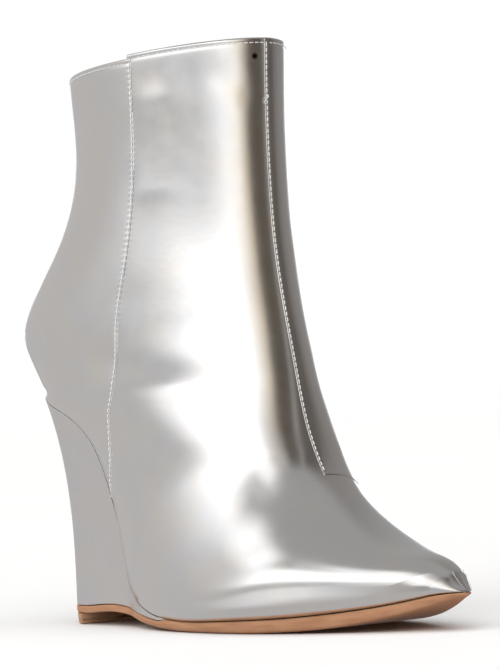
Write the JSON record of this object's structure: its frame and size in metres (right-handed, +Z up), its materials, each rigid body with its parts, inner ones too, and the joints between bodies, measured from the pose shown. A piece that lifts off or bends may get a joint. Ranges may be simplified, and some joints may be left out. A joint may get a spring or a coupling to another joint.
{
  "type": "heeled ankle boot",
  "caption": "Pointed-toe ankle boot for the right foot on a high covered wedge heel, with a hollow shaft, stitched panel seams and an inner side zip whose pull tab swings.",
  "frame": {"origin": "bottom centre of the bounding box, on the floor", "axes": "+X towards the toe, +Z up, +Y towards the inner (medial) side"},
  "size_m": [0.2232, 0.084, 0.2241],
  "materials": {
    "upper": "silver metallic, mirror-soft",
    "heel_cover": "silver metallic, mirror-soft",
    "outsole": "satin tan",
    "top_lift": "matte tan",
    "insole": "matte lining",
    "zip_tape": "woven tape with a covered coil",
    "zip_metal": "pale warm nickel"
  },
  "bodies": {
    "boot": {"upper": "upper", "wedge_heel": "heel_cover", "outsole": "outsole", "heel_top_lift": "top_lift", "insole": "insole", "zip_tape": "zip_tape", "zip_slider": "zip_metal"},
    "zip_pull": {"zip_pull": "zip_metal"}
  },
  "joints": [
    {"name": "pull_hinge", "type": "hinge", "parent": "boot", "child": "zip_pull", "pos_m": [-0.02236, 0.03831, 0.208], "axis": [0.9902, -0.1394, 0], "range_deg": [0, 165]}
  ]
}
